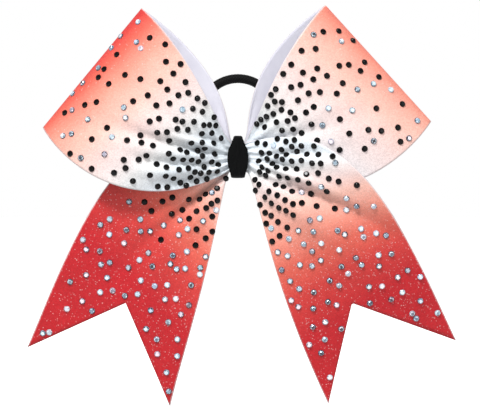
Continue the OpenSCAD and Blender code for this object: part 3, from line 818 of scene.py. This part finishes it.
def wrap_creases(s, z):
    """Soft folds that run up the front of the wrap, in millimetres inwards. s runs from -1 to 1 across it."""
    sway = 0.12 * np.sin(z / 3.1)
    folds = 0.26 * bell((s - 0.38 + sway) / 0.13) + 0.2 * bell((s + 0.3 - sway) / 0.12)
    folds = folds + 0.3 * bell((s - 0.05 - 1.3 * sway) / 0.1) * bell((z + 6) / 6)
    folds = folds + 0.14 * bell((s + 0.72) / 0.1)
    return folds + 0.12 * bell((z + 3.2 + 3 * s) / 0.9) * bell(s / 0.7)


def make_wrap():
    """The knit band round the knot: a closed loop of cloth with rolled edges."""
    path, out, length = rounded_loop(WRAP_FRONT, 0, WRAP_H / 2, WRAP_FRONT_R, WRAP_BACK_R, WRAP_STEPS)
    s = np.linspace(-1, 1, WRAP_ACROSS + 1)[None, :]
    y, z = path[:, :1], path[:, 1:]
    out_y, out_z = out[:, :1], out[:, 1:]
    x = wrap_half_width(z) * s
    facing_front = np.clip(-out_y, 0, 1)
    sunk = wrap_creases(s, z) * facing_front + WRAP_EDGE * np.abs(s) ** 6
    outer = np.stack([x, y - sunk * out_y, z - sunk * out_z], -1)
    thick = WRAP_T - WRAP_EASE - WRAP_EDGE * np.abs(s) ** 4
    inner = np.stack([x, y - thick * out_y, z - thick * out_z], -1)
    # One ring of points round the band's thickness at each step along it
    ring = np.concatenate([outer, inner[:, ::-1]], axis=1)
    steps, count = ring.shape[:2]
    number = np.arange(steps * count).reshape(steps, count)
    forward, sideways = np.roll(number, -1, axis=0), np.roll(number, -1, axis=1)
    both = np.roll(forward, -1, axis=1)
    faces = np.stack([number.ravel(), forward.ravel(), both.ravel(), sideways.ravel()], 1).tolist()
    along = np.repeat(np.arange(steps)[:, None] * length / steps * MM, count, axis=1)
    across = ring[..., 0] * MM
    wrap = add_piece("knot_wrap", ring.reshape(-1, 3), faces, "wrap_black", "knot", ["center_wrap"],
                     attributes={"along": along, "across": across})


def make_inner_end():
    """The start of the wrap's band, glued flat inside its back."""
    low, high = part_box("wrap_inner_end")
    columns, rows = np.linspace(low.x, high.x, 25) / MM, np.linspace(low.z, high.z, 31) / MM
    x, z = np.meshgrid(columns, rows, indexing="ij")
    soft = 0.08 * np.sin(x * 2.1) * np.sin(z * 1.3)
    front = np.stack([x, low.y / MM + 0.08 + soft, z], -1)
    back = np.stack([x, np.full_like(x, high.y / MM), z], -1)
    attributes = {"along": np.tile(z.ravel() * MM, 2), "across": np.tile(x.ravel() * MM, 2)}
    tab = add_piece("wrap_band_start", *closed_sheet(front, back, False), "wrap_black", "knot",
                    ["wrap_inner_end"], attributes=attributes)


def make_middle(name, layer):
    """One layer of gathered ribbon where it passes through the knot."""
    top = GATHER - 0.3
    x, w = np.meshgrid(np.linspace(-MIDDLE_HALF, MIDDLE_HALF, 9), np.linspace(0, 1, 161), indexing="ij")
    y = layer + PLEAT_AMP * np.sin(2 * math.pi * PLEATS * w) + 0.05 * np.sin(9 * w * PLEATS + x)
    z = top - 2 * top * w
    front = np.stack([x, y - HALF_T, z], -1)
    back = np.stack([x, y + HALF_T, z], -1)
    attributes = cloth_attributes(front, w, {"ombre": 0 * w})
    piece = add_piece(name + "_cloth", *closed_sheet(front, back, True), "ribbon_pale", "knot", [name],
                      attributes=attributes)


def sweep(path, sides, radii):
    """Points and faces of a closed tube round a closed path. radii(k, angles) gives
    the radius of ring k's points."""
    path = np.asarray(path, float)
    count = len(path)
    ahead = np.roll(path, -1, axis=0) - np.roll(path, 1, axis=0)
    ahead /= np.linalg.norm(ahead, axis=1, keepdims=True)
    plane = np.cross(path[1] - path[0], path[count // 3] - path[0])
    plane /= np.linalg.norm(plane)
    across = np.cross(ahead, plane)
    across /= np.linalg.norm(across, axis=1, keepdims=True)
    angles = 2 * math.pi * np.arange(sides) / sides
    r = np.broadcast_to(radii(np.arange(count)[:, None], angles[None, :]), (count, sides))
    around = np.cos(angles)[None, :, None] * across[:, None] + np.sin(angles)[None, :, None] * plane
    points = path[:, None] + r[..., None] * around
    number = np.arange(count * sides).reshape(count, sides)
    forward = np.roll(number, -1, axis=0)
    cell = np.stack([number, np.roll(number, -1, 1), np.roll(forward, -1, 1), forward], -1)
    return points, cell.reshape(-1, 4).tolist()


def make_thread():
    """Three tight turns of twisted thread round the gathered layers."""
    vertices, faces, base = [], [], 0
    half_height = GATHER + 0.2 + THREAD_T
    path, out, _ = rounded_loop(THREAD_FRONT, THREAD_BACK, half_height, 2.4, 2.4, 150)
    middle = path - out * THREAD_T / 2

    def plies(k, angle):
        return THREAD_T / 2 * (0.86 + 0.14 * np.abs(np.cos(1.5 * angle + k * 0.55)))

    for x in (-THREAD_PITCH, 0, THREAD_PITCH):
        line = np.stack([np.full(len(middle), x), middle[:, 0], middle[:, 1]], 1)
        points, cells = sweep(line, 12, plies)
        vertices.append(points.reshape(-1, 3))
        faces += [tuple(base + k for k in cell) for cell in cells]
        base += len(vertices[-1])
    add_piece("binding_thread", np.concatenate(vertices), faces, "waxed_thread", "knot",
              ["gather_thread"], {})


KNOT_THREAD_R = 0.24


def make_thread_knot():
    """The thread's knot, as a small closed trefoil."""
    low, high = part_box("thread_knot")
    centre = (np.array(low) + np.array(high)) / 2 / MM
    t = np.linspace(0, 2 * math.pi, 90, endpoint=False)
    trefoil = np.stack([
        np.sin(t) + 2 * np.sin(2 * t),
        -0.9 * np.sin(3 * t),
        np.cos(t) - 2 * np.cos(2 * t)], 1)
    loop = centre + trefoil * np.array([0.27, 0.22, 0.27])
    points, cells = sweep(loop, 10, lambda k, angle: KNOT_THREAD_R)
    add_piece("binding_knot", points.reshape(-1, 3), cells, "waxed_thread", "knot", ["thread_knot"], {})


make_wrap()
make_inner_end()
for layer_name, layer in (("center_front_pleats", FRONT_LAYER), ("center_middle_pleats", MIDDLE_LAYER),
                          ("center_back_pleats", BACK_LAYER)):
    make_middle(layer_name, layer)
make_thread()
make_thread_knot()


# ------------------------------------------------------------------ elastic

BEND_R = 4
CARRIERS = 8       # strands of the braid each way round
BRAID_PITCH = 11   # length of one turn of a strand, in millimetres


def arc(centre, radius, begin, sweep_angle, steps):
    """Points of an arc after its first, in the ring's own plane. Angles are in degrees."""
    angles = [math.radians(begin + sweep_angle * k / steps) for k in range(1, steps + 1)]
    return [(centre[0] + radius * math.cos(a), centre[1] + radius * math.sin(a)) for a in angles]


def ring_path(count):
    """Evenly spaced points along the elastic: a trapped run, two bends and the ring, leaned back.
    Returns them and the path's length."""
    run = WRAP_W / 2 + 0.6
    ring_z = BEND_R + math.sqrt((RING_R - BEND_R) ** 2 - run**2)
    lead = math.degrees(math.atan2(run, ring_z - BEND_R))
    rough = [(-run, 0), (0, 0), (run, 0)]
    rough += arc((run, BEND_R), BEND_R, -90, lead, 20)
    rough += arc((0, ring_z), RING_R, lead - 90, 360 - 2 * lead, 240)
    rough += arc((-run, BEND_R), BEND_R, -90 - lead, lead, 20)
    rough = np.array(rough)
    steps = np.concatenate([[0], np.cumsum(np.linalg.norm(np.diff(rough, axis=0), axis=1))])
    at = np.linspace(0, steps[-1], count, endpoint=False)
    x, up = np.interp(at, steps, rough[:, 0]), np.interp(at, steps, rough[:, 1])
    lean = math.radians(RING_TILT)
    return np.stack([x, ELASTIC_Y + up * math.sin(lean), ELASTIC_Z + up * math.cos(lean)], 1), steps[-1]


def make_elastic():
    """The braided elastic, with its strands modelled over and under each other."""
    count, sides = 620, 48
    path, length = ring_path(count)
    turns = round(length / BRAID_PITCH)

    def strand_height(k, angle):
        """Height of the braid's surface from 0 in a gap to 1 on a strand."""
        along = 2 * math.pi * turns * k / count
        one = np.sin(CARRIERS * (angle + along) / 2)
        other = np.sin(CARRIERS * (angle - along) / 2)
        over = np.cos(CARRIERS * along) * 0.5 + 0.5
        return over * np.abs(one) + (1 - over) * np.abs(other)

    def radii(k, angle):
        return ELASTIC_D / 2 * (0.93 + 0.07 * strand_height(k, angle))

    points, faces = sweep(path, sides, radii)
    heights = strand_height(np.arange(count)[:, None], 2 * math.pi * np.arange(sides)[None, :] / sides)
    add_piece("braided_ring", points.reshape(-1, 3), faces, "elastic_black", "elastic_ring",
              ["hair_elastic"], {"strand": heights})


make_elastic()

# CAD nodes that stay as they are, hidden inside the wrap
for node, slot in (("wrap_glue_pad", "hot_glue"), ("elastic_joint", "elastic_black")):
    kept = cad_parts[node]
    kept.data.materials.clear()
    kept.data.materials.append(MATERIALS[slot])


# ------------------------------------------------------------------ studio

BOW_MIDDLE = Vector((0, 0, -0.02))
FLOOR_HALF = 30.0
FLOOR_GLOW = 0.62
FLOOR_GAP = 0.0003       # between the floor and the lowest tip


def add_light(name, place, size, watts):
    """A square white soft box that points at the middle of the bow."""
    data = bpy.data.lights.new(name, "AREA")
    data.shape = "SQUARE"
    data.size = size
    data.energy = watts
    light = bpy.data.objects.new(name, data)
    light.location = place
    light.rotation_euler = (BOW_MIDDLE - Vector(place)).to_track_quat("-Z", "Y").to_euler()
    bpy.context.scene.collection.objects.link(light)


def make_floor():
    """A plain pale floor just under the tails' tips, which doesn't light the bow from below."""
    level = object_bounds()[0].z - FLOOR_GAP
    corners = [(x * FLOOR_HALF, y * FLOOR_HALF, level) for x, y in ((-1, -1), (1, -1), (1, 1), (-1, 1))]
    mesh = bpy.data.meshes.new("floor")
    mesh.from_pydata(corners, [], [(0, 1, 2, 3)])
    floor = bpy.data.objects.new("floor", mesh)
    bpy.context.scene.collection.objects.link(floor)
    pale = Shader("floor_pale", 0.8, specular=0.1)
    pale.set("Base Color", linear((0.97, 0.97, 0.97)))
    pale.set("Emission Color", (1, 1, 1, 1))
    pale.set("Emission Strength", FLOOR_GLOW)
    floor.visible_diffuse = False
    mesh.materials.append(pale.material)


def make_world(light_level, seen_level):
    """White surroundings, which light the bow at one level and show behind it at another."""
    world = bpy.data.worlds.new("studio")
    world.use_nodes = True
    tree = world.node_tree
    background = next(n for n in tree.nodes if n.type == "BACKGROUND")
    background.inputs["Color"].default_value = (1, 1, 1, 1)
    seen = tree.nodes.new("ShaderNodeLightPath")
    level = tree.nodes.new("ShaderNodeMapRange")
    level.inputs["To Min"].default_value = light_level
    level.inputs["To Max"].default_value = seen_level
    tree.links.new(seen.outputs["Is Camera Ray"], level.inputs["Value"])
    tree.links.new(level.outputs["Result"], background.inputs["Strength"])
    bpy.context.scene.world = world


CAMERA_PLACE = (0.001, -1.208, -0.0244)
VIEW_WIDTH = 0.2369      # metres across the picture at BOW_DISTANCE
BOW_DISTANCE = 1.2
SENSOR_MM = 36


def make_camera():
    """A long lens straight in front of the bow."""
    data = bpy.data.cameras.new("camera")
    data.sensor_width = SENSOR_MM
    data.lens = SENSOR_MM * BOW_DISTANCE / VIEW_WIDTH
    data.clip_start, data.clip_end = 0.05, 20
    camera = bpy.data.objects.new("camera", data)
    camera.location = CAMERA_PLACE
    camera.rotation_euler = (math.pi / 2, 0, 0)
    bpy.context.scene.collection.objects.link(camera)
    bpy.context.scene.camera = camera


make_floor()
make_world(0.55, 1.0)
add_light("key", (-0.3, -0.8, 0.85), 0.25, 12.5)
add_light("fill", (0.8, -1.2, 0.2), 0.8, 3)
add_light("back", (0.2, 0.9, 0.7), 0.6, 3)
make_camera()
bpy.context.scene.view_settings.view_transform = "Standard"
